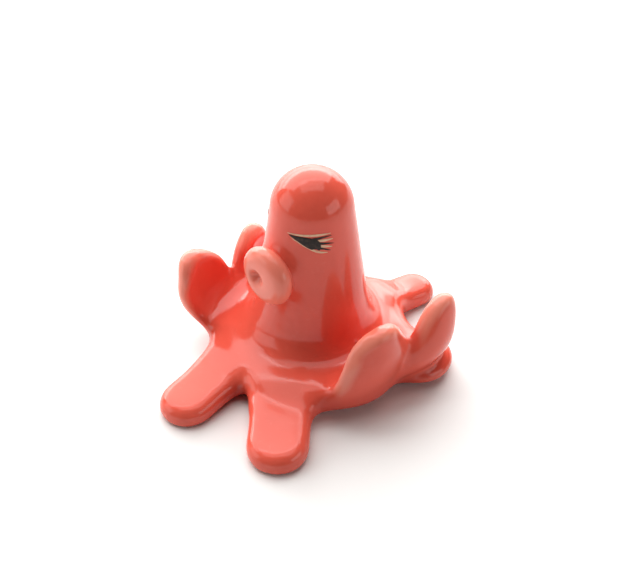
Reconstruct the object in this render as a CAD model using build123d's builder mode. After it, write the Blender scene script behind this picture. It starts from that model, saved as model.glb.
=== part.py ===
from build123d import *
import os
from math import cos, radians, sin, sqrt

# Octopus chopstick rest in glazed ceramic. Sizes are in millimetres and angles in degrees.
# The front is -Y and azimuths are measured from there towards +X. The figure is drawn about the head's axis
# and exported with the origin on the table, under the middle of its outline.

# Head: a dome over a body that flares out to the collar
head_height = 40.8
brow_radius = 7.7
cheek_radius = 9.0
neck_radius = 10.3
collar_radius = 13.0
collar_height = 8.8
head_turn = -19.0

# Web: the round collar under the head that all the arms are luted to
web_radius = 17.5
web_rim_height = 6.2
web_clearance = 0.9

# Arms that lie flat
arm_thickness = 4.3
root_thickness = 5.6
flat_width = 11.4
flat_root_width = 15.8
back_root_width = 10.4
front_right_azimuth = 20.5
front_right_reach = 34.8
front_left_azimuth = 22.0
front_left_reach = 33.6
back_reach = 31.0
back_azimuth = 161.0
back_width = 8.6
crotch_front = 37.4
crotch_back = 135.0

# Arms that curl up: two on each side, one in front of the other
side_front_width = 17.4
side_front_belly = 12.2
side_front_tip = 19.8
side_back_width = 12.8
side_back_belly = 10.5
side_back_tip = 17.4
side_front_right_heading = 70.0
side_front_right_swell = 20.8
side_front_right_aside = -2.2
side_front_left_heading = 86.0
side_front_left_swell = 21.0
side_front_left_aside = -5.6
side_back_right_heading = 84.0
side_back_right_swell = 22.6
side_back_right_aside = 7.4
side_back_left_heading = 92.0
side_back_left_swell = 21.0
side_back_left_aside = 6.8
curl = 0.5
curl_left = 1.6
lean = 2.0
cup = 1.2
petal_sections = 9
petal_fullness = 3.2
heel_reach = 20.6
heel_length = 12.4
heel_width = 10.4
heel_height = 4.0

# Snout: a button on a short stalk, with a blind mouth hole
snout_drop = 18.4
snout_reach = 11.6
snout_radius = 5.2
snout_thickness = 3.1
stalk_radius = 4.3
mouth_radius = 1.3
mouth_depth = 2.6
dimple_depth = 0.5

# Painted eyes
eye_azimuth = 50.0
eye_drop = 9.8
eye_length = 8.4
white_layer = 0.15
black_layer = 0.28

# Derived heights, directions and planes
snout_height = head_height - snout_drop
eye_height = head_height - eye_drop
eye_unit = eye_length / 8.4
cheek_height = snout_height - 0.21 * cheek_radius
neck_height = collar_height + 0.4 * collar_radius
facing = Vector(sin(radians(head_turn)), -cos(radians(head_turn)), 0)
face_plane = Plane(origin=(0, 0, 0), x_dir=facing, z_dir=facing.cross(Vector(0, 0, 1)))
root_start = 0.4 * web_radius


def outward(azimuth, radius, height=0.0):
    """Point at a radius and height in the direction of an azimuth."""
    return Vector(radius * sin(radians(azimuth)), -radius * cos(radians(azimuth)), height)


def head_profile(growth=0.0):
    """Half outline of the head in the XZ plane, grown outwards by a paint layer."""
    with BuildSketch(Plane.XZ) as profile:
        with BuildLine():
            top = head_height + growth
            dome = RadiusArc((0, top), (brow_radius + growth, head_height - brow_radius), brow_radius + growth)
            flank = Spline(
                dome @ 1,
                (cheek_radius + growth, cheek_height),
                (neck_radius + growth, neck_height),
                (collar_radius + growth, collar_height),
                tangents=[(0, -1), (1, -0.55)],
            )
            Polyline(flank @ 1, (0, collar_height), dome @ 0)
        make_face()
    return profile.sketch


def make_head():
    """Bullet-shaped head with a flared foot."""
    with BuildPart() as head:
        add(head_profile())
        revolve(axis=Axis.Z)
    return head.part


def make_web():
    """Collar with a flat seat for the head and a wall that the arm roots stand against."""
    with BuildPart() as web:
        with BuildSketch(Plane.XZ):
            with BuildLine():
                slope = Line((collar_radius, collar_height), (web_radius, web_rim_height))
                Polyline(
                    slope @ 1,
                    (web_radius, web_clearance),
                    (0, 2 * web_clearance),
                    (0, collar_height),
                    slope @ 0,
                )
            make_face()
        revolve(axis=Axis.Z)
    return web.part


def lengthwise(azimuth):
    """Upright plane through the axis: local x runs outwards along the azimuth and local y is up."""
    along = outward(azimuth, 1)
    return Plane(origin=(0, 0, 0), x_dir=along, z_dir=along.cross(Vector(0, 0, 1)))


def make_sector(sector):
    """Room for an arm: between two azimuths, above the table and outside the collar."""
    middle = sum(sector) / 2
    fan = [outward(azimuth, 4 * web_radius) for azimuth in (sector[0], middle, sector[1])]
    with BuildPart() as room:
        with BuildSketch():
            with BuildLine():
                Polyline((0, 0), *[(corner.X, corner.Y) for corner in fan], close=True)
            make_face()
        extrude(amount=head_height)
        Cylinder(web_radius, 3 * head_height, mode=Mode.SUBTRACT)
    return room.part


def make_flat_arm(azimuth, reach, width, root_width, sector):
    """Arm that lies on the table: a tongue in plan, cut from a slab that thins towards its tip."""
    plan = Plane(origin=(0, 0, 0), x_dir=outward(azimuth, 1), z_dir=(0, 0, 1))
    round_start = reach - width / 2
    root_end = 1.11 * web_radius
    waist = 0.3 * root_end + 0.7 * round_start
    foot_start = 0.75 * root_end + 0.25 * reach
    beyond = 1.03 * reach
    room = make_sector(sector)
    with BuildPart() as arm:
        with BuildSketch(lengthwise(azimuth)):
            with BuildLine():
                top = Spline(
                    (root_start, 1.1 * web_rim_height),
                    (web_radius, web_rim_height),
                    (0.68 * reach, 1.16 * arm_thickness),
                    (0.86 * reach, 0.98 * arm_thickness),
                    (beyond, 1.06 * arm_thickness),
                )
                under = Spline(
                    (foot_start, 0),
                    (root_end, web_clearance),
                    (root_start, web_clearance),
                    tangents=[(-1, 0), (-1, 0)],
                )
                Polyline(top @ 1, (beyond, 0), under @ 0)
                Line(under @ 1, top @ 0)
            make_face()
        extrude(amount=root_width, both=True)
        with BuildSketch(plan):
            with BuildLine():
                flare = Spline(
                    (root_start, root_width / 2),
                    (root_end, root_width / 2),
                    (waist, width / 2),
                    (round_start, width / 2),
                    tangents=[(1, 0), (1, 0)],
                )
                ThreePointArc(flare @ 1, (reach, 0), (round_start, -width / 2))
                mirror(flare, about=Plane.XZ)
                Line(flare @ 0, (root_start, -root_width / 2))
            make_face()
        extrude(amount=head_height, mode=Mode.INTERSECT)
        fillet(round_edges(arm.edges(), arm_thickness / 2, head_height), 0.38 * arm_thickness)
        fillet(round_edges(arm.edges(), -arm_thickness, 0.1 * arm_thickness), 0.2 * arm_thickness)
        add(room, mode=Mode.INTERSECT)
    return arm.part


def round_edges(edges, low, high):
    """Edges outside the collar whose middle lies between two heights."""
    outer = edges.filter_by(lambda edge: Vector(edge.center().X, edge.center().Y).length > web_radius)
    return outer.filter_by(lambda edge: low < edge.center().Z < high)


def make_side_arm(heading, width, aside, tilt, belly, tip):
    """Arm that leaves the collar along its heading, swells out to its belly and curls in to its tip.

    belly and tip are distances along the heading and heights. The root lies aside of the heading's line
    through the axis, and the tip tilts further to that side.
    The sections are ellipses bent into a cup, and they shrink so that the petal ends in a blunt round tip.
    """
    along = outward(heading, 1)
    across = outward(heading + 90, 1)
    rise = Vector(0, 0, 1)
    start = along * root_start + across * aside + rise * (web_clearance + root_thickness / 2)
    with BuildLine() as spine:
        Spline(
            start,
            start + along * (0.76 * belly[0] - root_start) + across * (0.2 * tilt),
            across * (aside + 0.6 * tilt) + along * belly[0] + rise * belly[1],
            across * (aside + tilt) + along * tip[0] + rise * tip[1],
            tangents=[along, along * (tip[0] - belly[0]) + rise * (0.6 * (tip[1] - belly[1]))],
        )
    path = spine.edges()[0]
    sections = []
    for step in range(petal_sections):
        share = sin(radians(90 * step / petal_sections))
        here = path.position_at(share * path.length, position_mode=PositionMode.LENGTH)
        ahead = path.tangent_at(share * path.length, position_mode=PositionMode.LENGTH)
        thickness = (root_thickness + (arm_thickness - root_thickness) * share) * sqrt(1 - share**6)
        half_width = width / 2 * sqrt(1 - share**petal_fullness)
        bend = cup * share * sqrt(1 - share**petal_fullness)
        with BuildSketch(Plane(origin=here, x_dir=across, z_dir=ahead)) as section:
            with BuildLine():
                Spline(*cupped_ellipse(half_width, thickness / 2, bend), periodic=True)
            make_face()
        sections.append(section.sketch)
    with BuildPart() as arm:
        loft(sections=sections)
        Cylinder(web_radius, 3 * head_height, mode=Mode.SUBTRACT)
    return arm.part


def cupped_ellipse(half_width, half_thickness, bend):
    """Points round an ellipse whose ends are bent towards the head."""
    turns = [radians(30 * step) for step in range(12)]
    return [(half_width * cos(turn), half_thickness * sin(turn) + bend * cos(turn) ** 2) for turn in turns]


def add_heel(arm, heading, aside):
    """Gives a curled arm the rounded heel that it stands on at the bend."""
    plan = Plane(origin=outward(heading, heel_reach) + outward(heading + 90, aside), x_dir=outward(heading, 1))
    with BuildPart() as heeled:
        with BuildSketch(plan):
            Ellipse(heel_length / 2, heel_width / 2)
        extrude(amount=heel_height)
        fillet(heeled.edges().group_by(Axis.Z)[-1], 0.42 * heel_height)
        fillet(heeled.edges().group_by(Axis.Z)[0], 0.2 * heel_height)
        Cylinder(web_radius, 3 * head_height, mode=Mode.SUBTRACT)
        add(arm)
    return heeled.part


def on_face(part):
    """Copy of a part on the other side of the turned face."""
    return mirror(part, about=face_plane)


head = make_head()
web = make_web()
parts = {"head": head, "web": web}

front_sector = (0, crotch_front)
back_sector = (crotch_back, 180)
side_back_right = make_side_arm(
    side_back_right_heading,
    side_back_width,
    side_back_right_aside,
    lean,
    (side_back_right_swell, side_back_belly),
    (side_back_right_swell - curl, side_back_tip),
)
right_arms = {
    "arm_front": make_flat_arm(
        front_right_azimuth, front_right_reach, flat_width, flat_root_width, front_sector
    ),
    "arm_side_front": make_side_arm(
        side_front_right_heading,
        side_front_width,
        side_front_right_aside,
        curl,
        (side_front_right_swell, side_front_belly),
        (side_front_right_swell - curl, side_front_tip),
    ),
    "arm_side_back": add_heel(side_back_right, side_back_right_heading, side_back_right_aside),
    "arm_back": make_flat_arm(back_azimuth, back_reach, back_width, back_root_width, back_sector),
}
left_arms = {
    "arm_front": make_flat_arm(
        front_left_azimuth, front_left_reach, flat_width, flat_root_width, front_sector
    ),
    "arm_side_front": make_side_arm(
        side_front_left_heading,
        side_front_width,
        side_front_left_aside,
        -curl,
        (side_front_left_swell, side_front_belly),
        (side_front_left_swell - curl, side_front_tip - curl),
    ),
    "arm_side_back": make_side_arm(
        side_back_left_heading,
        side_back_width,
        side_back_left_aside,
        curl_left,
        (side_back_left_swell, side_back_belly),
        (side_back_left_swell - curl_left, side_back_tip),
    ),
    "arm_back": right_arms["arm_back"],
}
for name in right_arms:
    parts[name + "_right"] = right_arms[name]
    parts[name + "_left"] = mirror(left_arms[name], about=Plane.YZ)
for side in ("_right", "_left"):
    for neighbour in ("arm_front", "arm_side_back"):
        parts[neighbour + side] = parts[neighbour + side] - parts["arm_side_front" + side]


def make_snout():
    """Button snout on a stalk that is fitted to the head."""
    start = Vector(0, 0, snout_height)
    side = Plane(origin=start, x_dir=facing, z_dir=face_plane.z_dir)
    rim = snout_reach - snout_thickness
    with BuildPart() as snout:
        with BuildSketch(side):
            with BuildLine():
                lip = (snout_reach, 0.55 * snout_radius)
                edge = (snout_reach - dimple_depth, mouth_radius)
                floor = snout_reach - mouth_depth
                Polyline((floor, 0), (brow_radius / 2, 0), (brow_radius / 2, stalk_radius), (rim, stalk_radius))
                ThreePointArc((rim, stalk_radius), (rim + 0.6 * snout_thickness, snout_radius), lip)
                Polyline(lip, edge, (floor, mouth_radius), (floor, 0))
            make_face()
        revolve(axis=Axis(start, facing))
        add(head, mode=Mode.SUBTRACT)
    return snout.part


def eye_layer(layer, outline):
    """Layer of enamel on the right of the face, inside an outline drawn on the eye's own plane."""
    towards = outward(head_turn + eye_azimuth, 1)
    eye_plane = Plane(
        origin=(0, 0, eye_height), x_dir=Vector(0, 0, 1).cross(towards), z_dir=towards
    )
    with BuildPart() as enamel:
        add(head_profile(layer))
        revolve(axis=Axis.Z)
        with BuildSketch(eye_plane):
            add(outline)
        extrude(amount=2 * cheek_radius, mode=Mode.INTERSECT)
        add(head, mode=Mode.SUBTRACT)
    return enamel.part


def black_outline():
    """Almond with three lashes on its outer side."""
    with BuildSketch() as outline:
        with BuildLine():
            ThreePointArc((-3.9, 1.0), (-1.3, 2.0), (0.9, 1.3))
            ThreePointArc((0.9, 1.3), (1.3, -0.3), (1.0, -1.8))
            ThreePointArc((1.0, -1.8), (-1.4, -0.8), (-3.9, 1.0))
        make_face()
        for base, tip in (((0.7, 1.0), (3.5, 1.3)), ((0.8, 0.1), (3.8, -0.5)), ((0.7, -1.1), (2.6, -2.0))):
            with BuildLine():
                Polyline((base[0], base[1] + 0.3), tip, (base[0], base[1] - 0.3), close=True)
            make_face()
    return outline.sketch.scale(eye_unit)


def white_outline():
    """Pale ground that shows as a rim round the almond and between the lashes."""
    with BuildSketch() as outline:
        with BuildLine():
            ThreePointArc((-4.3, 1.1), (-0.6, 2.6), (3.6, 1.9))
            ThreePointArc((3.6, 1.9), (4.1, -0.2), (2.9, -2.4))
            ThreePointArc((2.9, -2.4), (-0.9, -1.5), (-4.3, 1.1))
        make_face()
    return outline.sketch.scale(eye_unit)


parts["snout"] = make_snout()
eye_black = eye_layer(black_layer, black_outline())
eye_white = eye_layer(white_layer, white_outline()) - eye_black
parts["eye_black_right"] = eye_black
parts["eye_black_left"] = on_face(eye_black)
parts["eye_white_right"] = eye_white
parts["eye_white_left"] = on_face(eye_white)

middle = Compound(list(parts.values())).bounding_box().center()
os.makedirs("parts", exist_ok=True)
for label, solid in parts.items():
    placed = Pos(-middle.X, -middle.Y, 0) * solid
    placed.label = label
    export_step(placed, f"parts/{label}.step")
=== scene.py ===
import logging
import math
from dataclasses import dataclass, field
from enum import Enum
from typing import Protocol

import bpy
import numpy as np
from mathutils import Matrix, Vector


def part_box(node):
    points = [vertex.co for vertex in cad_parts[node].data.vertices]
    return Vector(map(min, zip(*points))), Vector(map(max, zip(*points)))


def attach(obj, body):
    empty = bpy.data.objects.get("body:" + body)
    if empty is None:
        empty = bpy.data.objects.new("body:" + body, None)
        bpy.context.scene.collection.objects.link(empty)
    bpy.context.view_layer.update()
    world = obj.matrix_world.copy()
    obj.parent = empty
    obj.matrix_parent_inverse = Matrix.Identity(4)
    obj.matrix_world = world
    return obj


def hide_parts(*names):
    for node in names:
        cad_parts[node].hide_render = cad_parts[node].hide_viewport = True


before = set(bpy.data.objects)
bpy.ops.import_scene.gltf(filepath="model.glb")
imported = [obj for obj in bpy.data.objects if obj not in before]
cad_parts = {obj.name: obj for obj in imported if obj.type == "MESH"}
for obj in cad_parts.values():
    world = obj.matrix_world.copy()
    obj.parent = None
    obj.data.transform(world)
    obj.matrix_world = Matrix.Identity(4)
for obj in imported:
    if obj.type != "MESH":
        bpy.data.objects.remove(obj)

logging.basicConfig(level=logging.INFO, format="%(message)s")
log = logging.getLogger("octopus")

MM = 0.001


class Side(Enum):
    """Side of the figure, as seen from the front. The value is the sign of its azimuths."""

    RIGHT = 1.0
    LEFT = -1.0

    @property
    def tag(self) -> str:
        """Suffix of the names of pieces on this side.

        Returns:
            The suffix in small letters.
        """
        return self.name.lower()


def outward(azimuth: float, radius: float, height: float = 0.0) -> np.ndarray:
    """Point round the head's axis.

    Args:
        azimuth: degrees from the front (-Y) towards +X.
        radius: distance from the axis in mm.
        height: height above the table in mm.

    Returns:
        The point in mm, about the head's axis.
    """
    turn = math.radians(azimuth)
    return np.array([radius * math.sin(turn), -radius * math.cos(turn), height])


def linear(code: str) -> tuple[float, float, float, float]:
    """Linear colour of an sRGB hex code.

    Args:
        code: six hex digits, with or without a leading #.

    Returns:
        Linear red, green, blue and an alpha of one.
    """
    digits = code.lstrip("#")
    channels = [int(digits[place : place + 2], 16) / 255 for place in (0, 2, 4)]
    bright = [c / 12.92 if c <= 0.04045 else ((c + 0.055) / 1.055) ** 2.4 for c in channels]
    return bright[0], bright[1], bright[2], 1.0


def smooth_path(points: list[tuple[float, float]], count: int) -> np.ndarray:
    """Even run of points on a smooth curve through the given ones.

    Args:
        points: control points that the curve passes.
        count: number of points returned.

    Returns:
        Array of count rows, evenly spaced along the curve.
    """
    knots = np.array(points, float)
    ends = np.vstack([2 * knots[0] - knots[1], knots, 2 * knots[-1] - knots[-2]])
    run = []
    for first, start, end, last in zip(ends, ends[1:], ends[2:], ends[3:]):
        for step in np.linspace(0, 1, 24, endpoint=False):
            bend = 2 * first - 5 * start + 4 * end - last
            twist = 3 * start - first - 3 * end + last
            run.append(start + 0.5 * step * ((end - first) + step * (bend + step * twist)))
    run.append(knots[-1])
    curve = np.array(run)
    length = np.concatenate([[0], np.cumsum(np.linalg.norm(np.diff(curve, axis=0), axis=1))])
    even = np.linspace(0, length[-1], count)
    return np.stack([np.interp(even, length, curve[:, axis]) for axis in range(curve.shape[1])], axis=1)


def soft_union(first: np.ndarray, second: np.ndarray, softness: float) -> np.ndarray:
    """Union of two distance fields with a fillet between them.

    Args:
        first: distances to one shape.
        second: distances to the other.
        softness: reach of the fillet in mm.

    Returns:
        Distances to the joined shape.
    """
    near = np.maximum(softness - np.abs(first - second), 0) / softness
    return np.minimum(first, second) - near * near * softness / 4


@dataclass
class Table:
    """Values on a flat grid that are read between its nodes."""

    low: tuple[float, float]
    step: float
    values: np.ndarray

    @staticmethod
    def nodes(
        low: tuple[float, float], high: tuple[float, float], step: float
    ) -> tuple[np.ndarray, tuple[int, int]]:
        """Nodes of a grid.

        Args:
            low: lowest corner.
            high: highest corner.
            step: spacing.

        Returns:
            The nodes, one per row, and the grid's shape.
        """
        first = np.arange(low[0], high[0], step)
        second = np.arange(low[1], high[1], step)
        grid = np.stack(np.meshgrid(first, second, indexing="ij"), axis=-1)
        return grid.reshape(-1, 2), grid.shape[:2]

    def read(self, first: np.ndarray, second: np.ndarray) -> np.ndarray:
        """Values at places, which are held inside the grid.

        Args:
            first: coordinates along the grid's first axis.
            second: coordinates along its second axis.

        Returns:
            Values between the nodes, one per place.
        """
        rows, columns = self.values.shape
        u = np.clip((first - self.low[0]) / self.step, 0, rows - 1.001)
        v = np.clip((second - self.low[1]) / self.step, 0, columns - 1.001)
        i = u.astype(np.int32)
        j = v.astype(np.int32)
        u = u - i
        v = v - j
        near = self.values[i, j] * (1 - v) + self.values[i, j + 1] * v
        far = self.values[i + 1, j] * (1 - v) + self.values[i + 1, j + 1] * v
        return near * (1 - u) + far * u


def outline_table(outline: np.ndarray, margin: float, step: float) -> Table:
    """Signed distances to a closed outline, negative inside.

    Args:
        outline: corners, in order.
        margin: room round the outline.
        step: spacing of the table.

    Returns:
        Table over the outline's box.
    """
    low = tuple(outline.min(axis=0) - margin)
    high = tuple(outline.max(axis=0) + margin)
    nodes, shape = Table.nodes(low, high, step)
    nearest = np.full(len(nodes), np.inf)
    inside = np.zeros(len(nodes), bool)
    for start, end in zip(outline, np.roll(outline, -1, axis=0)):
        edge = end - start
        offset = nodes - start
        share = np.clip(offset @ edge / max(edge @ edge, 1e-9), 0, 1)
        nearest = np.minimum(nearest, ((offset - share[:, None] * edge) ** 2).sum(axis=1))
        crosses = (start[1] > nodes[:, 1]) != (end[1] > nodes[:, 1])
        reach = start[0] + (nodes[:, 1] - start[1]) * edge[0] / (edge[1] if edge[1] else 1e-9)
        inside ^= crosses & (nodes[:, 0] < reach)
    distance = np.sqrt(nearest) * np.where(inside, -1, 1)
    return Table(low, step, distance.reshape(shape))


class Shape(Protocol):
    """Form that can be joined to the clay field."""

    def room(self) -> tuple[np.ndarray, np.ndarray]:
        """Box that holds the form.

        Returns:
            Its lowest and its highest corner in mm.
        """

    def distance(self, x: np.ndarray, y: np.ndarray, z: np.ndarray) -> np.ndarray:
        """Signed distance to the form.

        Args:
            x: places along X in mm.
            y: places along Y in mm.
            z: heights in mm.

        Returns:
            Distances in mm, negative inside.
        """


@dataclass
class Body:
    """Head and web in one turned form: a dome whose body flares out into the round web."""

    profile: list[tuple[float, float]]
    table: Table = field(init=False)

    def __post_init__(self) -> None:
        """Draws the profile on both sides of the axis and tables its distances."""
        run = smooth_path(self.profile, 160)
        outline = np.vstack([run, run[::-1] * [-1, 1]])
        self.table = outline_table(outline, 6.0, 0.25)

    def room(self) -> tuple[np.ndarray, np.ndarray]:
        """Box that holds the form.

        Returns:
            Its lowest and its highest corner in mm.
        """
        reach = max(radius for radius, _ in self.profile)
        low = min(height for _, height in self.profile)
        high = max(height for _, height in self.profile)
        return np.array([-reach, -reach, low]), np.array([reach, reach, high])

    def distance(self, x: np.ndarray, y: np.ndarray, z: np.ndarray) -> np.ndarray:
        """Signed distance to the form.

        Args:
            x: places along X in mm.
            y: places along Y in mm.
            z: heights in mm.

        Returns:
            Distances in mm, negative inside.
        """
        return self.table.read(np.hypot(x, y), z + 0 * x)


@dataclass
class Arm:
    """Leaf of clay that follows a spine in the upright plane of its heading.

    The spine is given by distances along the heading and heights. The leaf is widest at its root, ends in a
    round tip, and its edges bend up by the cup on the spine's upper or inner side. They round off over the
    width of the rim.
    """

    heading: float
    spine: list[tuple[float, float]]
    widths: list[tuple[float, float]]
    aside: float = 0.0
    lean: float = 0.0
    middle: float = 2.1
    edge: float = 1.5
    rim: float = 1.5
    cup: float = 0.4
    blunt: float = 4.0
    length: float = field(init=False)
    along: Table = field(init=False)
    above: Table = field(init=False)
    outline: Table = field(init=False)

    def __post_init__(self) -> None:
        """Tables the way from the upright plane to the flattened leaf, and the leaf's outline."""
        run = smooth_path(self.spine, 90)
        steps = np.linalg.norm(np.diff(run, axis=0), axis=1)
        passed = np.concatenate([[0], np.cumsum(steps)])
        self.length = float(passed[-1])
        low = (float(run[:, 0].min()) - 9, float(run[:, 1].min()) - 9)
        high = (float(run[:, 0].max()) + 9, float(run[:, 1].max()) + 9)
        nodes, shape = Table.nodes(low, high, 0.25)
        nearest = np.full(len(nodes), np.inf)
        along = np.zeros(len(nodes))
        above = np.zeros(len(nodes))
        last = len(steps) - 1
        for number, (start, end) in enumerate(zip(run, run[1:])):
            ahead = (end - start) / steps[number]
            offset = nodes - start
            way = offset @ ahead
            way = np.maximum(way, 0) if number else way
            way = np.minimum(way, steps[number]) if number < last else way
            gap = offset - way[:, None] * ahead
            square = (gap**2).sum(axis=1)
            closer = square < nearest
            nearest[closer] = square[closer]
            along[closer] = passed[number] + way[closer]
            side = gap @ np.array([-ahead[1], ahead[0]])
            above[closer] = np.sign(side[closer]) * np.sqrt(square[closer])
        self.along = Table(low, 0.25, along.reshape(shape))
        self.above = Table(low, 0.25, above.reshape(shape))
        share = np.linspace(0, 1, 60)
        half = self.half_width(share)
        edge = np.stack([share * self.length, half], axis=1)
        outline = np.vstack([[[-4.0, half[0]]], edge, (edge * [1, -1])[::-1], [[-4.0, -half[0]]]])
        self.outline = outline_table(outline, 7.0, 0.25)

    def half_width(self, share: np.ndarray) -> np.ndarray:
        """Half the leaf's width.

        Args:
            share: shares of the leaf's length.

        Returns:
            Half-widths in mm.
        """
        run = smooth_path(self.widths, 200)
        return np.maximum(np.interp(share, run[:, 0], run[:, 1]), 0)

    def room(self) -> tuple[np.ndarray, np.ndarray]:
        """Box that holds the form.

        Returns:
            Its lowest and its highest corner in mm.
        """
        reach = max(width for _, width in self.widths)
        corners = []
        for distance, height in self.spine:
            for sideways in (-reach, reach):
                for shift in (0.0, self.lean):
                    place = outward(self.heading, distance, height)
                    corners.append(place + outward(self.heading + 90, self.aside + shift + sideways))
        return np.min(corners, axis=0) - 3, np.max(corners, axis=0) + 3

    def distance(self, x: np.ndarray, y: np.ndarray, z: np.ndarray) -> np.ndarray:
        """Signed distance to the form.

        Args:
            x: places along X in mm.
            y: places along Y in mm.
            z: heights in mm.

        Returns:
            Distances in mm, negative inside.
        """
        turn = math.radians(self.heading)
        out = x * math.sin(turn) - y * math.cos(turn) + 0 * z
        across = x * math.cos(turn) + y * math.sin(turn) + 0 * z
        height = z + 0 * out
        along = self.along.read(out, height)
        above = self.above.read(out, height)
        share = np.clip(along / self.length, 0, 1)
        across = across - self.aside - self.lean * share * share
        broad = np.clip(np.abs(across) / np.maximum(self.half_width(share), self.blunt), 0, 1.15)
        half = self.edge + (self.middle - self.edge) * (1 - broad * broad)
        rim = np.maximum(self.outline.read(along, across) / self.rim + 1, 0)
        rise = (above - self.cup * share * broad * broad) / half
        size = np.hypot(rim, rise)
        return size * (size - 1) / np.maximum(np.hypot(rim / self.rim, rise / half), 1e-4)


@dataclass
class Heel:
    """Rounded pad of clay that rests on the table."""

    centre: tuple[float, float, float]
    radii: tuple[float, float, float]
    heading: float

    def room(self) -> tuple[np.ndarray, np.ndarray]:
        """Box that holds the form.

        Returns:
            Its lowest and its highest corner in mm.
        """
        reach = max(self.radii)
        return np.array(self.centre) - reach, np.array(self.centre) + reach

    def distance(self, x: np.ndarray, y: np.ndarray, z: np.ndarray) -> np.ndarray:
        """Signed distance to the form.

        Args:
            x: places along X in mm.
            y: places along Y in mm.
            z: heights in mm.

        Returns:
            Distances in mm, negative inside.
        """
        turn = math.radians(self.heading)
        east = x - self.centre[0]
        north = y - self.centre[1]
        out = (east * math.sin(turn) - north * math.cos(turn)) / self.radii[0]
        across = (east * math.cos(turn) + north * math.sin(turn)) / self.radii[1]
        up = (z - self.centre[2]) / self.radii[2]
        size = np.sqrt(out**2 + across**2 + up**2)
        pull = [part / radius for part, radius in zip((out, across, up), self.radii)]
        slope = np.sqrt(pull[0] ** 2 + pull[1] ** 2 + pull[2] ** 2)
        return size * (size - 1) / np.maximum(slope, 1e-6)


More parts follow.
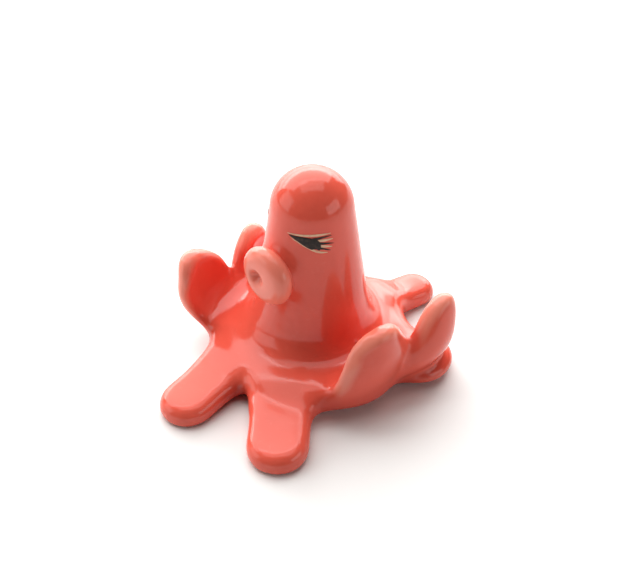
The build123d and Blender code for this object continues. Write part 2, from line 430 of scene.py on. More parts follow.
@dataclass
class Clay:
    """Distance field on a box of nodes, in mm about the head's axis."""

    low: tuple[float, float, float]
    high: tuple[float, float, float]
    step: float
    axes: list[np.ndarray] = field(init=False)
    values: np.ndarray = field(init=False)

    def __post_init__(self) -> None:
        """Lays out the empty field."""
        self.axes = [np.arange(low, high, self.step) for low, high in zip(self.low, self.high)]
        self.values = np.full([len(axis) for axis in self.axes], 9.0)

    def join(self, shape: Shape, softness: float) -> None:
        """Joins a form to the clay.

        Args:
            shape: the form.
            softness: reach of the fillet in mm.
        """
        low, high = shape.room()
        margin = softness + 2.0
        cut = tuple(
            slice(np.searchsorted(axis, low[n] - margin), np.searchsorted(axis, high[n] + margin))
            for n, axis in enumerate(self.axes)
        )
        x = self.axes[0][cut[0]][:, None, None]
        y = self.axes[1][cut[1]][None, :, None]
        z = self.axes[2][cut[2]][None, None, :]
        self.values[cut] = soft_union(self.values[cut], shape.distance(x, y, z), softness)

    def merge(self, other: "Clay", softness: float) -> None:
        """Joins another field on the same nodes.

        Args:
            other: the other field.
            softness: reach of the fillet in mm.
        """
        self.values = soft_union(self.values, other.values, softness)

    def blurred(self, reach: float) -> np.ndarray:
        """Distances averaged over their neighbours by a bell curve.

        Args:
            reach: spread of the curve in mm.

        Returns:
            The averaged distances on the same nodes.
        """
        width = int(math.ceil(2.5 * reach / self.step))
        weights = np.exp(-0.5 * (np.arange(-width, width + 1) * self.step / reach) ** 2)
        weights /= weights.sum()
        calm = self.values
        for axis in range(3):
            padding = [(width, width) if n == axis else (0, 0) for n in range(3)]
            wide = np.pad(calm, padding, mode="edge")
            calm = np.zeros_like(self.values)
            for shift, weight in enumerate(weights):
                cut = [slice(None)] * 3
                cut[axis] = slice(shift, shift + self.values.shape[axis])
                calm += weight * wide[tuple(cut)]
        return calm

    def ease(self, reach: float, near: float, far: float) -> None:
        """Fills creases on top of the clay round the axis, like slip smoothed with a finger.

        Args:
            reach: size of the creases that fill, in mm.
            near: distance from the axis up to which they fill wholly.
            far: distance from the axis from which they stay.
        """
        around = np.hypot(self.axes[0][:, None, None], self.axes[1][None, :, None])
        share = np.clip((far - around) / (far - near), 0, 1) * np.clip(self.axes[2] / 2 - 1.5, 0, 1)
        self.values = self.values - share * np.maximum(self.values - self.blurred(reach), 0)
        self.values = self.blurred(0.6)

    def stand(self, height: float, softness: float) -> None:
        """Cuts the clay flat, with a rounded edge.

        Args:
            height: height of the cut in mm.
            softness: size of the rounding in mm.
        """
        floor = height - self.axes[2][None, None, :] + 0 * self.values
        self.values = -soft_union(-self.values, -floor, softness)

    def read(self, points: np.ndarray) -> np.ndarray:
        """Distances at points.

        Args:
            points: points in mm, one per row.

        Returns:
            One distance per point.
        """
        place = (points - np.array(self.low)) / self.step
        limit = np.array(self.values.shape) - 1.001
        place = np.clip(place, 0, limit)
        base = place.astype(np.int32)
        part = place - base
        total = np.zeros(len(points))
        for corner in np.ndindex(2, 2, 2):
            weight = np.prod(np.where(corner, part, 1 - part), axis=1)
            node = base + np.array(corner)
            total += weight * self.values[node[:, 0], node[:, 1], node[:, 2]]
        return total

    def slope(self, points: np.ndarray, reach: float = 0.5) -> np.ndarray:
        """Directions in which the distance grows.

        Args:
            points: points in mm, one per row.
            reach: distance over which the growth is taken.

        Returns:
            One direction per row.
        """
        rows = []
        for axis in range(3):
            shift = np.zeros(3)
            shift[axis] = reach
            rows.append((self.read(points + shift) - self.read(points - shift)) / (2 * reach))
        return np.stack(rows, axis=1)

    def skin(self) -> tuple[np.ndarray, np.ndarray]:
        """Closed surface of the clay.

        Returns:
            Points in mm and four-sided faces that index them.
        """
        inside = self.values < 0
        cells = tuple(size - 1 for size in self.values.shape)
        total = np.zeros(cells + (3,))
        count = np.zeros(cells)
        for axis in range(3):
            near = [slice(None)] * 3
            far = [slice(None)] * 3
            near[axis] = slice(None, -1)
            far[axis] = slice(1, None)
            start = self.values[tuple(near)]
            end = self.values[tuple(far)]
            crosses = inside[tuple(near)] != inside[tuple(far)]
            share = np.where(crosses, start / np.where(crosses, start - end, 1), 0)
            others = [n for n in range(3) if n != axis]
            for first in (0, 1):
                for second in (0, 1):
                    cut = [slice(None)] * 3
                    cut[others[0]] = slice(first, first + cells[others[0]])
                    cut[others[1]] = slice(second, second + cells[others[1]])
                    hit = crosses[tuple(cut)]
                    count += hit
                    total[..., axis] += np.where(hit, share[tuple(cut)], 0)
                    total[..., others[0]] += hit * first
                    total[..., others[1]] += hit * second
        used = count > 0
        number = np.full(cells, -1)
        number[used] = np.arange(int(used.sum()))
        corner = np.argwhere(used)
        points = np.array(self.low) + self.step * (corner + total[used] / count[used][:, None])
        faces = []
        for axis in range(3):
            near = [slice(1, -1)] * 3
            far = [slice(1, -1)] * 3
            near[axis] = slice(None, -1)
            far[axis] = slice(1, None)
            leaves = inside[tuple(near)] & ~inside[tuple(far)]
            enters = ~inside[tuple(near)] & inside[tuple(far)]
            others = [(axis + 1) % 3, (axis + 2) % 3]
            for hits, order in ((leaves, 1), (enters, -1)):
                place = np.argwhere(hits)
                place[:, others[0]] += 1
                place[:, others[1]] += 1
                ring = []
                for first, second in ((0, 0), (-1, 0), (-1, -1), (0, -1)):
                    cell = place.copy()
                    cell[:, others[0]] += first
                    cell[:, others[1]] += second
                    ring.append(number[cell[:, 0], cell[:, 1], cell[:, 2]])
                faces.append(np.stack(ring[::order], axis=1))
        for _ in range(3):
            slope = self.slope(points)
            step = self.read(points) / np.maximum((slope**2).sum(axis=1), 0.2)
            points = points - slope * step[:, None]
        return points, np.vstack(faces)


def make_object(
    name: str, points: np.ndarray, faces: list[list[int]], material: bpy.types.Material
) -> bpy.types.Object:
    """Smooth mesh object from points in metres.

    Args:
        name: name of the piece.
        points: points in the row frame.
        faces: faces that index the points.
        material: finish of the piece.

    Returns:
        The linked object, unturned and at the origin.
    """
    mesh = bpy.data.meshes.new(name)
    mesh.from_pydata(points.tolist(), [], faces)
    mesh.update()
    mesh.shade_smooth()
    mesh.materials.append(material)
    made = bpy.data.objects.new(name, mesh)
    bpy.context.scene.collection.objects.link(made)
    return made


def store(made: bpy.types.Object, name: str, values: np.ndarray) -> None:
    """Keeps one number per point on a mesh, for its finish to read.

    Args:
        made: object that gets the numbers.
        name: name of the attribute.
        values: one number per point.
    """
    layer = made.data.attributes.new(name, "FLOAT", "POINT")
    layer.data.foreach_set("value", values.astype(np.float32))


def add_node(
    tree: bpy.types.NodeTree, kind: str, settings: dict[str, object] | None = None, **inputs: object
) -> bpy.types.Node:
    """Adds a node, sets its properties and feeds its inputs.

    Args:
        tree: tree that gets the node.
        kind: type name of the node.
        settings: properties of the node itself.
        inputs: input name, with _ for a space, or i and a number, to a value or an output socket.

    Returns:
        The node.
    """
    node = tree.nodes.new(kind)
    for key, value in (settings or {}).items():
        setattr(node, key, value)
    for key, value in inputs.items():
        counted = key[0] == "i" and key[1:].isdigit()
        socket = node.inputs[int(key[1:]) if counted else key.replace("_", " ")]
        if isinstance(value, bpy.types.NodeSocket):
            tree.links.new(value, socket)
        else:
            socket.default_value = value
    return node


def mix(tree: bpy.types.NodeTree, share: object, first: object, second: object) -> bpy.types.NodeSocket:
    """Mixes two colours.

    Args:
        tree: tree that gets the node.
        share: share of the second colour, a number or a socket.
        first: first colour or socket.
        second: second colour or socket.

    Returns:
        Socket of the mixed colour.
    """
    node = add_node(tree, "ShaderNodeMix", {"data_type": "RGBA"}, i0=share, i6=first, i7=second)
    return node.outputs[2]


def ramp(
    tree: bpy.types.NodeTree, value: bpy.types.NodeSocket, low: float, high: float, top: float = 1.0
) -> bpy.types.NodeSocket:
    """Smooth rise from zero, between two values.

    Args:
        tree: tree that gets the node.
        value: socket of the value.
        low: value where the rise starts.
        high: value where it ends.
        top: result at the end of the rise.

    Returns:
        Socket of the result.
    """
    smooth = {"interpolation_type": "SMOOTHSTEP"}
    return add_node(tree, "ShaderNodeMapRange", smooth, i0=value, i1=low, i2=high, i4=top).outputs[0]


def blank_material(name: str) -> tuple[bpy.types.Material, bpy.types.NodeTree, bpy.types.Node]:
    """New material with nodes.

    Args:
        name: name of the material.

    Returns:
        The material, its tree and its surface shader.
    """
    made = bpy.data.materials.new(name)
    made.use_nodes = True
    return made, made.node_tree, made.node_tree.nodes["Principled BSDF"]


@dataclass(frozen=True)
class GlazeFinish:
    """Coloured glaze over pale clay: it breaks paler on edges, where the upper rims also carry a painted
    highlight, and pools darker in hollows, where painted shade also darkens creases and the lower parts.
    """

    name: str
    body: str
    thin: str
    pooled: str
    bisque: str
    roughness: float
    coat_roughness: float = 0.14
    coat_ior: float = 1.4

    def material(self) -> bpy.types.Material:
        """Builds the glaze. Scales of its noise are per metre of the object.

        Returns:
            The material.
        """
        made, tree, shader = blank_material(self.name)
        place = add_node(tree, "ShaderNodeTexCoord").outputs["Object"]
        cloud = add_node(tree, "ShaderNodeTexNoise", Vector=place, Scale=110.0, Detail=3.0, Roughness=0.5)
        grain = add_node(tree, "ShaderNodeTexNoise", Vector=place, Scale=900.0, Detail=2.0, Roughness=0.6)
        edge = add_node(tree, "ShaderNodeAttribute", {"attribute_name": "edge"}).outputs["Fac"]
        hollow = add_node(tree, "ShaderNodeAttribute", {"attribute_name": "hollow"}).outputs["Fac"]
        foot = add_node(tree, "ShaderNodeAttribute", {"attribute_name": "foot"}).outputs["Fac"]
        mottled = ramp(tree, cloud.outputs["Fac"], 0.35, 0.75, 0.16)
        colour = mix(tree, mottled, linear(self.body), linear(self.pooled))
        speck = ramp(tree, grain.outputs["Fac"], 0.55, 0.8, 0.06)
        colour = mix(tree, speck, colour, linear(self.thin))
        # Darker glaze in hollows: partly real pooling, partly painted shade in creases, recesses and low
        # down.
        colour = mix(tree, hollow, colour, linear(self.pooled))
        # Paler glaze on edges: partly real thin glaze, partly painted highlight on the upper rims.
        colour = mix(tree, edge, colour, linear(self.thin))
        colour = mix(tree, foot, colour, linear(self.bisque))
        wave = add_node(tree, "ShaderNodeTexNoise", Vector=place, Scale=160.0, Detail=1.0, Roughness=0.4)
        bump = add_node(tree, "ShaderNodeBump", Height=wave.outputs["Fac"], Strength=0.12, Distance=0.0006)
        rough = add_node(tree, "ShaderNodeMapRange", i0=foot, i3=self.roughness, i4=0.75)
        coat = add_node(tree, "ShaderNodeMapRange", i0=foot, i3=1.0, i4=0.0)
        tree.links.new(colour, shader.inputs["Base Color"])
        tree.links.new(rough.outputs[0], shader.inputs["Roughness"])
        tree.links.new(bump.outputs[0], shader.inputs["Normal"])
        tree.links.new(bump.outputs[0], shader.inputs["Coat Normal"])
        tree.links.new(coat.outputs[0], shader.inputs["Coat Weight"])
        shader.inputs["Coat Roughness"].default_value = self.coat_roughness
        shader.inputs["Coat IOR"].default_value = self.coat_ior
        shader.inputs["Specular IOR Level"].default_value = 0.0
        return made


@dataclass(frozen=True)
class EnamelFinish:
    """Enamel laid on with a brush: its strength varies along the stroke."""

    name: str
    body: str
    worn: str
    roughness: float

    def material(self) -> bpy.types.Material:
        """Builds the enamel. Scales of its noise are per metre of the object.

        Returns:
            The material.
        """
        made, tree, shader = blank_material(self.name)
        place = add_node(tree, "ShaderNodeTexCoord").outputs["Object"]
        brush = add_node(tree, "ShaderNodeTexNoise", Vector=place, Scale=1500.0, Detail=3.0, Roughness=0.6)
        worn = ramp(tree, brush.outputs["Fac"], 0.45, 0.8)
        colour = mix(tree, worn, linear(self.body), linear(self.worn))
        tree.links.new(colour, shader.inputs["Base Color"])
        shader.inputs["Roughness"].default_value = self.roughness
        shader.inputs["Specular IOR Level"].default_value = 0.3
        return made


CORAL_GLAZE = GlazeFinish("coral_glaze", "E35C4A", "F49A85", "BC3425", "E9D5C3", 0.34)
BLACK_ENAMEL = EnamelFinish("black_enamel", "1C130E", "43332A", 0.4)
CREAM_ENAMEL = EnamelFinish("cream_enamel", "E6BE9C", "DB9A80", 0.4)


def leaf_widths(root: float, neck: float, fullness: float) -> list[tuple[float, float]]:
    """Half-widths of a leaf that swells from its root and ends like a half ellipse.

    Args:
        root: half-width where the leaf is broadest.
        neck: share of that width at the root.
        fullness: power of the curve; two is an ellipse, more is blunter.

    Returns:
        Shares of the length with half-widths.
    """
    shares = [math.sin(math.radians(90 * n / 12)) for n in range(13)]
    swell = [min(max((share - 0.4) / 0.42, 0), 1) for share in shares]
    narrow = [neck + (1 - neck) * way * way * (3 - 2 * way) for way in swell]
    taper = [max(1 - share**fullness, 0) ** 0.5 for share in shares]
    return [(share, root * part * end) for share, part, end in zip(shares, narrow, taper)]


def tongue_widths(root: float, waist: float, reach: float, blade: float) -> list[tuple[float, float]]:
    """Half-widths of a flat arm: a broad root, a narrower blade and a round tip.

    Args:
        root: half-width at the root.
        waist: share of the length where the blade starts.
        reach: length of the arm in mm.
        blade: half-width of the blade, which is also the tip's radius.

    Returns:
        Shares of the length with half-widths.
    """
    tip = 1 - blade / reach
    rows = [(0.0, root), (0.4 * waist, root), (0.75 * waist, 0.5 * (root + blade)), (waist, blade)]
    for degrees in (0, 20, 40, 55, 70, 80, 86, 90):
        turn = math.radians(degrees)
        rows.append((tip + (1 - tip) * math.sin(turn), blade * math.cos(turn)))
    return rows


@dataclass(frozen=True)
class Tongue:
    """Sizes of an arm that lies on the table, in mm and degrees.

    It runs along its heading, aside of the line through the axis. The blade and root are half-widths, and
    the cup is the rise of its edges above its middle.
    """

    heading: float
    aside: float
    reach: float
    blade: float
    root: float
    cup: float

    def arm(self) -> Arm:
        """Shapes the arm.

        Returns:
            The arm.
        """
        far = self.reach
        low_end = [(0.78 * far, 1.6), (0.92 * far, 1.25), (far, 1.3)]
        spine = [(7.0, 2.2), (13.0, 2.6), (0.6 * far, 2.3), *low_end]
        widths = tongue_widths(self.root, 0.62, far - 7.0, self.blade)
        return Arm(self.heading, spine, widths, self.aside, middle=2.6, edge=2.4, rim=2.0, cup=self.cup)


@dataclass(frozen=True)
class Petal:
    """Sizes of an arm that curls up beside the head, in mm and degrees.

    The root is the half-width where it is broadest, the neck the share of it at the start, and the tip is
    blunter the fuller it is. The arm starts aside of the heading's line through the axis and leans further
    to that side towards its tip. Its edges are cupped towards the head. The belly and tip are distances and
    heights.
    """

    heading: float
    root: float
    neck: float
    full: float
    aside: float
    lean: float
    cup: float
    belly: tuple[float, float]
    tip: tuple[float, float]

    def arm(self) -> Arm:
        """Shapes the arm.

        Returns:
            The arm.
        """
        out, height = self.belly
        spine = [(7.0, 3.2), (0.68 * out, 3.6), (0.92 * out, 0.52 * height), self.belly, self.tip]
        widths = leaf_widths(self.root, self.neck, self.full)
        return Arm(
            self.heading, spine, widths, self.aside, self.lean,
            middle=1.95, edge=1.15, rim=1.3, cup=self.cup, blunt=6.0,
        )


FLAT_ARMS = (
    Tongue(heading=29.2, aside=-4.5, reach=34.6, blade=5.7, root=6.8, cup=0.2),
    Tongue(heading=-8.0, aside=-6.0, reach=33.8, blade=5.3, root=6.4, cup=0.0),
    Tongue(heading=157.0, aside=0.0, reach=30.0, blade=4.2, root=4.4, cup=0.2),
    Tongue(heading=-161.0, aside=0.0, reach=31.0, blade=4.4, root=5.4, cup=0.2),
)
SIDE_FRONT_RIGHT = Petal(
    heading=70.0, root=8.5, neck=1.08, full=4.4, aside=-1.4, lean=0.8, cup=2.4,
    belly=(21.2, 11.6), tip=(20.6, 19.0),
)
SIDE_BACK_RIGHT = Petal(
    heading=72.0, root=7.0, neck=0.98, full=3.6, aside=7.2, lean=7.2, cup=1.8,
    belly=(22.4, 10.2), tip=(20.2, 18.4),
)
SIDE_FRONT_LEFT = Petal(
    heading=-86.0, root=10.0, neck=0.72, full=2.6, aside=3.0, lean=5.6, cup=1.9,
    belly=(22.4, 12.4), tip=(21.6, 20.5),
)
SIDE_BACK_LEFT = Petal(
    heading=-92.0, root=6.4, neck=0.95, full=3.2, aside=-5.8, lean=-2.2, cup=1.9,
    belly=(21.0, 9.6), tip=(19.8, 16.2),
)


@dataclass
class Figure:
    """The clay of the octopus under one glaze: head, web and arms."""

    axis: np.ndarray
    turn: float
    nodes: tuple[str, ...]
    step: float = 0.45
    brow: float = 7.75
    brow_height: float = 33.05
    clay: Clay = field(init=False)
    piece: bpy.types.Object = field(init=False)

    def body(self) -> Body:
        """Head and web.

        Returns:
            The turned form.
        """
        turns = [math.radians(degrees) for degrees in range(0, 91, 15)]
        rise = [self.brow_height + self.brow * math.cos(turn) for turn in turns]
        dome = [(self.brow * math.sin(turn), height) for turn, height in zip(turns, rise)]
        flank = [(8.6, 27.0), (9.5, 20.5), (10.5, 14.0), (11.6, 9.6), (13.2, 7.1)]
        web = [(15.2, 6.1), (17.2, 5.5), (18.2, 4.7), (18.4, 3.6)]
        under = [(17.0, 2.4), (13.0, 1.4), (7.0, 1.6), (0.0, 1.7)]
        return Body(dome + flank + web + under)

    def model(self) -> None:
        """Joins the head, web and arms in one field and smooths the joints between them."""
        self.clay = Clay((-30, -40, -1.5), (32, 36, 43), self.step)
        self.clay.join(self.body(), 0.5)
        spread = Clay(self.clay.low, self.clay.high, self.step)
        for tongue in FLAT_ARMS:
            spread.join(tongue.arm(), 1.2)
        self.clay.merge(spread, 5.0)
        petals = Clay(self.clay.low, self.clay.high, self.step)
        petals.join(SIDE_FRONT_RIGHT.arm(), 4.0)
        petals.join(SIDE_BACK_RIGHT.arm(), 1.4)
        petals.join(SIDE_FRONT_LEFT.arm(), 4.0)
        petals.join(SIDE_BACK_LEFT.arm(), 4.0)
        petals.join(Heel((20.4, 5.8, 2.2), (6.9, 7.2, 2.3), 105.0), 1.0)
        petals.join(Heel((12.2, -6.0, 2.6), (7.4, 9.2, 2.8), 66.0), 4.0)
        self.clay.merge(petals, 3.6)
        collar = outward(self.turn + 6.0, 8.4, 23.2)
        self.clay.join(Heel((collar[0], collar[1], collar[2]), (1.6, 4.4, 4.4), self.turn), 3.0)
        self.clay.ease(1.8, 20.0, 27.0)
        self.clay.stand(0.0, 0.8)

    def wear(self, points: np.ndarray) -> None:
        """Stores where the glaze is thin, with a painted highlight on the upper rims, where it pools, with
        painted shade in hollows and low down, and where it is wiped off.

        Args:
            points: points of the skin in mm about the head's axis.
        """
        normal = self.clay.slope(points)
        normal /= np.maximum(np.linalg.norm(normal, axis=1, keepdims=True), 1e-6)
        sharp = Clay(self.clay.low, self.clay.high, self.step)
        sharp.values = self.clay.blurred(0.9) - self.clay.values
        outer = self.clay.read(points + 2.0 * normal)
        wide = self.clay.read(points + 6.0 * normal)
        # Edges pale only from 4 mm up: glaze breaking thin, plus a painted highlight on the upper rims that
        # fades out lower down.
        raised = np.clip((points[:, 2] - 4.0) / 4.0, 0.15, 1)
        store(self.piece, "edge", np.clip((sharp.read(points) - 0.19) * 5.0, 0, 0.65) * raised)
        # Painted shade with real pooling: darker where the 2 mm and 6 mm probes outwards find clay close
        # by, and more so lower down.
        low = np.clip((16.0 - points[:, 2]) / 9.0, 0.2, 1)
        hollow = (2.0 - outer) * 0.35 + (6.0 - wide) * 0.06 - 0.12
        store(self.piece, "hollow", np.clip(hollow, 0, 0.55) * low)
        store(self.piece, "foot", np.clip((0.22 - points[:, 2]) / 0.15, 0, 1) * (normal[:, 2] < -0.7))

    def build(self, material: bpy.types.Material) -> None:
        """Models the clay and takes its skin as one piece.

        Args:
            material: glaze of the piece.
        """
        self.model()
        points, faces = self.clay.skin()
        self.piece = make_object("octopus_body", points * MM + self.axis, faces.tolist(), material)
        self.wear(points)
        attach(self.piece, "root")
        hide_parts(*self.nodes)
        log.info("built %s: %d points", self.piece.name, len(points))


@dataclass
class Snout:
    """Button snout with a blind mouth hole, luted to the front of the head."""

    axis: np.ndarray
    turn: float
    height: float = 23.2
    mouth: float = -1.1
    profile: list[tuple[float, float]] = field(
        default_factory=lambda: [
            (3.5, 0.0), (3.5, 2.4), (4.2, 4.1), (7.8, 4.3), (9.0, 4.7), (9.9, 5.35), (10.8, 5.65),
            (11.7, 5.45), (12.35, 4.9), (12.75, 4.1), (12.9, 3.3), (12.93, 2.6), (12.9, 2.0),
            (12.75, 1.55), (12.45, 1.15), (12.1, 0.8), (11.85, 0.5), (11.7, 0.25), (11.65, 0.0),
        ]
    )
    piece: bpy.types.Object = field(init=False)

    def build(self, material: bpy.types.Material) -> None:
        """Turns the profile about the snout's own axis, with the mouth a little off it.

        Args:
            material: glaze of the piece.
        """
        run = smooth_path(self.profile, 90)[1:-1]
        around = 96
        ahead = outward(self.turn, 1)
        side = outward(self.turn + 90, 1)
        angles = np.linspace(0, 2 * math.pi, around, endpoint=False)
        wobble = 1 + 0.012 * np.cos(2 * angles + 0.6) + 0.008 * np.cos(3 * angles)
        points = [ahead * run[0][0]]
        for distance, radius in run:
            shift = side * self.mouth * max(1 - (radius / 4.2) ** 2, 0) * (distance > 10)
            for angle, grow in zip(angles, wobble):
                spread = side * math.cos(angle) + np.array([0, 0, 1]) * math.sin(angle)
                points.append(ahead * distance + shift + spread * max(radius, 0.02) * grow)
        points.append(ahead * run[-1][0] + side * self.mouth)
        faces = []
        for ring in range(len(run) - 1):
            for step in range(around):
                first = 1 + ring * around + step
                second = 1 + ring * around + (step + 1) % around
                faces.append([first, first + around, second + around, second])
        end = len(points) - 1
        for step in range(around):
            after = (step + 1) % around
            faces.append([0, 1 + step, 1 + after])
            faces.append([end, end - around + after, end - around + step])
        place = (np.array(points) + np.array([0, 0, self.height])) * MM + self.axis
        self.piece = make_object("snout_button", place, faces, material)
        reach = np.concatenate([[run[0]], np.repeat(run, around, axis=0), [run[-1]]])
        # Paler over the snout's front: partly glaze breaking thin, partly painted highlight.
        store(self.piece, "edge", 0.5 * np.clip((reach[:, 0] - 8.0) / 2.0, 0, 1))
        # Darker inside the mouth hole: partly glaze pooling, partly painted shade in the recess.
        store(self.piece, "hollow", np.clip((1.3 - reach[:, 1]) * 0.7, 0, 0.5) * (reach[:, 0] > 8.5))
        store(self.piece, "foot", np.zeros(len(points)))
        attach(self.piece, "root")
        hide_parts("snout")
        log.info("built %s: %d points", self.piece.name, len(points))


@dataclass
class BrushTree:
    """Geometry tree that turns lines into flat brush strokes lying on the glaze."""

    name: str
    tree: bpy.types.NodeTree = field(init=False)
    sockets: dict[str, str] = field(default_factory=dict)

    def __post_init__(self) -> None:
        """Builds the tree with its named inputs."""
        self.tree = bpy.data.node_groups.new(self.name, "GeometryNodeTree")
        face = self.tree.interface
        for label, kind, way in (
            ("Geometry", "NodeSocketGeometry", "INPUT"),
            ("Ground", "NodeSocketObject", "INPUT"),
            ("Layer", "NodeSocketFloat", "INPUT"),
            ("Relief", "NodeSocketFloat", "INPUT"),
            ("Finish", "NodeSocketMaterial", "INPUT"),
            ("Geometry", "NodeSocketGeometry", "OUTPUT"),
        ):
            item = face.new_socket(label, in_out=way, socket_type=kind)
            if way == "INPUT":
                self.sockets[label] = item.identifier
        tree = self.tree
        given = add_node(tree, "NodeGroupInput").outputs
        line = add_node(tree, "GeometryNodeMeshToCurve", Mesh=given["Geometry"])
        even = add_node(tree, "GeometryNodeResampleCurve", Curve=line.outputs[0], Count=40)
        number = {"data_type": "FLOAT"}
        half = add_node(tree, "GeometryNodeInputNamedAttribute", number, Name="half").outputs[0]
        sized = add_node(tree, "GeometryNodeSetCurveRadius", Curve=even.outputs[0], Radius=half)
        ring = add_node(tree, "GeometryNodeCurvePrimitiveCircle", Resolution=20, Radius=1.0)
        tube = add_node(
            tree, "GeometryNodeCurveToMesh", Curve=sized.outputs[0], Profile_Curve=ring.outputs[0],
            Scale=half, Fill_Caps=True,
        )
        relative = {"transform_space": "RELATIVE"}
        info = add_node(tree, "GeometryNodeObjectInfo", relative, Object=given["Ground"])
        ground = info.outputs["Geometry"]
        proximity = add_node(tree, "GeometryNodeProximity", {"target_element": "FACES"}, i0=ground)
        nearest = proximity.outputs["Position"]
        facing = add_node(tree, "GeometryNodeInputNormal")
        sample = add_node(
            tree, "GeometryNodeSampleNearestSurface", {"data_type": "FLOAT_VECTOR"},
            Mesh=ground, Value=facing.outputs[0],
        )
        normal = sample.outputs["Value"]
        here = add_node(tree, "GeometryNodeInputPosition").outputs[0]
        gap = add_node(tree, "ShaderNodeVectorMath", {"operation": "SUBTRACT"}, i0=here, i1=nearest)
        dot = {"operation": "DOT_PRODUCT"}
        side = add_node(tree, "ShaderNodeVectorMath", dot, i0=gap.outputs[0], i1=normal)
        lift = add_node(
            tree, "ShaderNodeMath", {"operation": "MULTIPLY_ADD"},
            i0=side.outputs["Value"], i1=given["Relief"], i2=given["Layer"],
        )
        scale = {"operation": "SCALE"}
        push = add_node(tree, "ShaderNodeVectorMath", scale, i0=normal, Scale=lift.outputs[0])
        flat = add_node(tree, "ShaderNodeVectorMath", {"operation": "ADD"}, i0=nearest, i1=push.outputs[0])
        laid = add_node(tree, "GeometryNodeSetPosition", Geometry=tube.outputs[0], Position=flat.outputs[0])
        real = add_node(tree, "GeometryNodeRealizeInstances", Geometry=laid.outputs[0])
        done = add_node(tree, "GeometryNodeSetMaterial", Geometry=real.outputs[0], Material=given["Finish"])
        add_node(tree, "NodeGroupOutput", Geometry=done.outputs[0])


@dataclass
class Stroke:
    """One brush mark on the face: places on the eye's plane with half-widths, in mm."""

    marks: list[tuple[float, float, float]]


@dataclass
class Eye:
    """Painted eye: an almond with lashes on its outer side, edged in a pale colour."""

    axis: np.ndarray
    side: Side
    turn: float
    ground: bpy.types.Object
    azimuth: float = 52.0
    height: float = 31.0
    drift: float = 0.0
    black: list[Stroke] = field(
        default_factory=lambda: [
            Stroke([
                (-3.9, 1.05, 0.06), (-2.6, 0.75, 0.4), (-1.2, 0.35, 0.8), (0.1, -0.1, 1.05),
                (0.8, -0.4, 1.0), (1.25, -0.9, 0.55), (1.45, -1.45, 0.08),
            ]),
            Stroke([(0.3, 0.75, 0.3), (1.5, 0.95, 0.2), (2.6, 1.1, 0.13), (3.6, 1.15, 0.04)]),
            Stroke([(0.6, -0.1, 0.34), (1.8, -0.15, 0.22), (2.9, -0.3, 0.14), (3.9, -0.5, 0.04)]),
            Stroke([(0.8, -0.8, 0.32), (1.7, -1.1, 0.2), (2.6, -1.45, 0.12), (3.3, -1.75, 0.04)]),
        ]
    )
    pale: list[Stroke] = field(
        default_factory=lambda: [
            Stroke([
                (-4.2, 1.3, 0.05), (-2.4, 1.4, 0.16), (-0.4, 1.5, 0.2), (1.6, 1.6, 0.2), (3.5, 1.6, 0.05),
            ]),
            Stroke([(1.2, 0.42, 0.2), (2.4, 0.42, 0.24), (3.8, 0.4, 0.05)]),
            Stroke([(1.2, -0.58, 0.2), (2.4, -0.8, 0.24), (3.6, -1.1, 0.05)]),
            Stroke([
                (-3.6, 0.6, 0.04), (-1.8, -0.25, 0.14), (0.0, -1.2, 0.18), (1.4, -1.85, 0.2),
                (2.8, -2.1, 0.05),
            ]),
        ]
    )

    def place(self, across: float, up: float) -> np.ndarray:
        """Point near the head's skin for a place on the eye's plane.

        Args:
            across: distance outwards from the eye's middle in mm.
            up: distance upwards from it in mm.

        Returns:
            The point in metres.
        """
        towards = outward(self.turn + self.side.value * self.azimuth + self.drift, 1)
        beside = np.cross([0, 0, 1], towards) * self.side.value
        reach = math.sqrt(8.0**2 - across**2)
        rise = np.array([0, 0, self.height + up])
        return (towards * reach + beside * across + rise) * MM + self.axis

    def paint(
        self, name: str, strokes: list[Stroke], brush: BrushTree, layer: float,
        material: bpy.types.Material,
    ) -> None:
        """Lays strokes of one colour on the glaze.

        Args:
            name: name of the piece and of the node that it stands for.
            strokes: brush marks.
            brush: geometry tree.
            layer: height of the strokes' middle above the glaze in mm.
            material: enamel.
        """
        points = []
        lines = []
        halves = []
        for stroke in strokes:
            run = smooth_path(stroke.marks, 24)
            lines += [(len(points) + n, len(points) + n + 1) for n in range(len(run) - 1)]
            points += [self.place(across, up) for across, up, _ in run]
            halves += [max(half, 0.03) * MM for _, _, half in run]
        mesh = bpy.data.meshes.new(name + "_lines")
        mesh.from_pydata([tuple(point) for point in points], lines, [])
        drawn = bpy.data.objects.new(name + "_lines", mesh)
        bpy.context.scene.collection.objects.link(drawn)
        store(drawn, "half", np.array(halves))
        modifier = drawn.modifiers.new("brush", "NODES")
        modifier.node_group = brush.tree
        modifier[brush.sockets["Ground"]] = self.ground
        modifier[brush.sockets["Layer"]] = layer * MM
        modifier[brush.sockets["Relief"]] = 0.05
        modifier[brush.sockets["Finish"]] = material
        bpy.context.view_layer.update()
        plain = bpy.data.meshes.new_from_object(drawn.evaluated_get(bpy.context.evaluated_depsgraph_get()))
        bpy.data.objects.remove(drawn)
        plain.shade_smooth()
        made = bpy.data.objects.new(name + "_paint", plain)
        bpy.context.scene.collection.objects.link(made)
        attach(made, "root")
        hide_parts(name)
        log.info("built %s: %d points", made.name, len(plain.vertices))

    def build(self, brush: BrushTree, black: bpy.types.Material, cream: bpy.types.Material) -> None:
        """Paints the pale edging and then the black almond and lashes.

        Args:
            brush: geometry tree of the strokes.
            black: enamel of the almond and lashes.
            cream: enamel of the edging.
        """
        self.paint("eye_white_" + self.side.tag, self.pale, brush, 0.03, cream)
        self.paint("eye_black_" + self.side.tag, self.black, brush, 0.06, black)


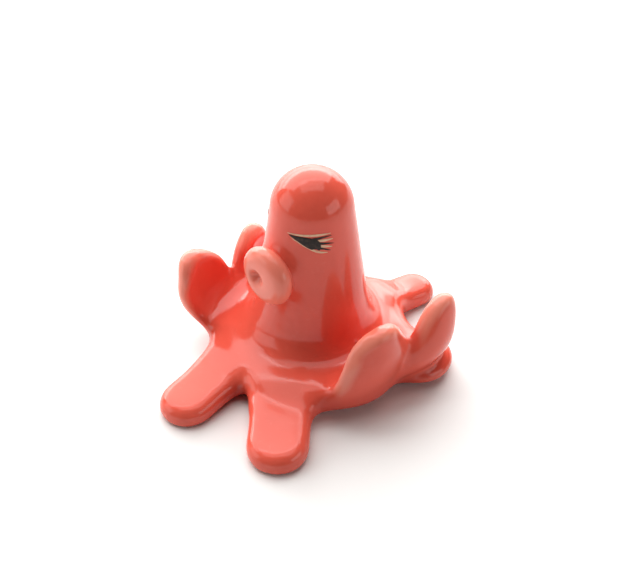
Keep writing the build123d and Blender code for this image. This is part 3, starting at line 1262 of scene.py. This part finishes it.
@dataclass(frozen=True)
class SoftBox:
    """Square lamp that shines at the figure: angles in degrees, lengths in metres and power in watts."""

    name: str
    azimuth: float
    elevation: float
    distance: float
    size: tuple[float, float]
    power: float
    colour: str

    def hang(self, axis: np.ndarray) -> None:
        """Puts the lamp in the scene.

        Args:
            axis: foot of the head's axis in metres.
        """
        data = bpy.data.lights.new(self.name, "AREA")
        data.shape = "RECTANGLE"
        data.size, data.size_y = self.size
        data.energy = self.power
        data.color = linear(self.colour)[:3]
        rise = math.radians(self.elevation)
        way = outward(self.azimuth, math.cos(rise), math.sin(rise))
        made = bpy.data.objects.new(self.name, data)
        made.location = Vector(way * self.distance + axis + np.array([0, 0, 0.02]))
        made.rotation_euler = Vector(way).to_track_quat("Z", "Y").to_euler()
        bpy.context.scene.collection.objects.link(made)


SOFT_BOXES = (
    SoftBox("back_box", -140.0, 17.0, 0.9, (2.0, 0.5), 14.5, "FFFEFD"),
    SoftBox("tent_box", -132.0, 47.0, 0.8, (1.5, 0.8), 14.5, "FFFEFD"),
    SoftBox("left_box", -52.0, 20.0, 0.7, (0.5, 0.42), 1.4, "FFFDFA"),
    SoftBox("key_box", -140.0, 84.0, 0.5, (0.5, 0.3), 1.0, "FFFDFA"),
    SoftBox("rim_box", 96.0, 18.0, 0.7, (0.5, 0.3), 1.1, "FFFBF7"),
)


@dataclass
class Studio:
    """Pale floor, soft boxes and the camera."""

    axis: np.ndarray
    azimuth: float = 32.6
    elevation: float = 42.9
    distance: float = 200.0
    focal: float = 56.96

    def floor(self) -> None:
        """Wide pale floor."""
        made, tree, shader = blank_material("white_sweep")
        place = add_node(tree, "ShaderNodeTexCoord").outputs["Object"]
        cloud = add_node(tree, "ShaderNodeTexNoise", Vector=place, Scale=6.0, Detail=2.0)
        colour = mix(tree, cloud.outputs["Fac"], linear("E9E8E7"), linear("E6E5E4"))
        tree.links.new(colour, shader.inputs["Base Color"])
        shader.inputs["Roughness"].default_value = 0.7
        shader.inputs["Specular IOR Level"].default_value = 0.1
        reach = 3.0
        corners = np.array([[-reach, -reach, 0], [reach, -reach, 0], [reach, reach, 0], [-reach, reach, 0]])
        sheet = make_object("floor", corners, [[0, 1, 2, 3]], made)

    def camera(self) -> None:
        """Camera at the picture's angle, aimed a little above the table."""
        rise = math.radians(self.elevation)
        turn = math.radians(self.azimuth)
        back = outward(self.azimuth, math.cos(rise), math.sin(rise))
        right = np.array([math.cos(turn), math.sin(turn), 0])
        up = np.cross(back, right)
        data = bpy.data.cameras.new("camera")
        data.lens = self.focal
        data.sensor_width = 36.0
        data.clip_start = 0.01
        made = bpy.data.objects.new("camera", data)
        aim = 0.72 * right + 10.08 * up
        made.location = Vector(back * self.distance * MM + self.axis)
        look = Vector(back * self.distance - aim)
        made.rotation_euler = look.to_track_quat("Z", "Y").to_euler()
        bpy.context.scene.collection.objects.link(made)
        bpy.context.scene.camera = made

    def build(self) -> None:
        """Sets up the world, floor, lights and camera."""
        world = bpy.data.worlds.new("studio")
        world.use_nodes = True
        shade = world.node_tree.nodes["Background"]
        shade.inputs["Color"].default_value = linear("F4F2F0")
        shade.inputs["Strength"].default_value = 0.03
        bpy.context.scene.world = world
        bpy.context.scene.view_settings.view_transform = "Standard"
        self.floor()
        for box in SOFT_BOXES:
            box.hang(self.axis)
        self.camera()
        log.info("built the studio")


def main() -> None:
    """Builds the figure piece by piece in the frame and sets the scene."""
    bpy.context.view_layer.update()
    low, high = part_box("head")
    axis = np.array([(low[0] + high[0]) / 2, (low[1] + high[1]) / 2, 0.0])
    glaze = CORAL_GLAZE.material()
    black = BLACK_ENAMEL.material()
    cream = CREAM_ENAMEL.material()
    places = ("front", "side_front", "side_back", "back")
    arms = [f"arm_{place}_{side.tag}" for place in places for side in Side]
    turn = -21.0
    figure = Figure(axis, turn, ("head", "web", *arms))
    figure.build(glaze)
    Snout(axis, turn + 6.0).build(glaze)
    brush = BrushTree("brush_strokes")
    for side in Side:
        drift = 0.0 if side is Side.RIGHT else -9.0
        Eye(axis, side, turn, figure.piece, drift=drift).build(brush, black, cream)
    Studio(axis).build()


if __name__ == "__main__":
    main()
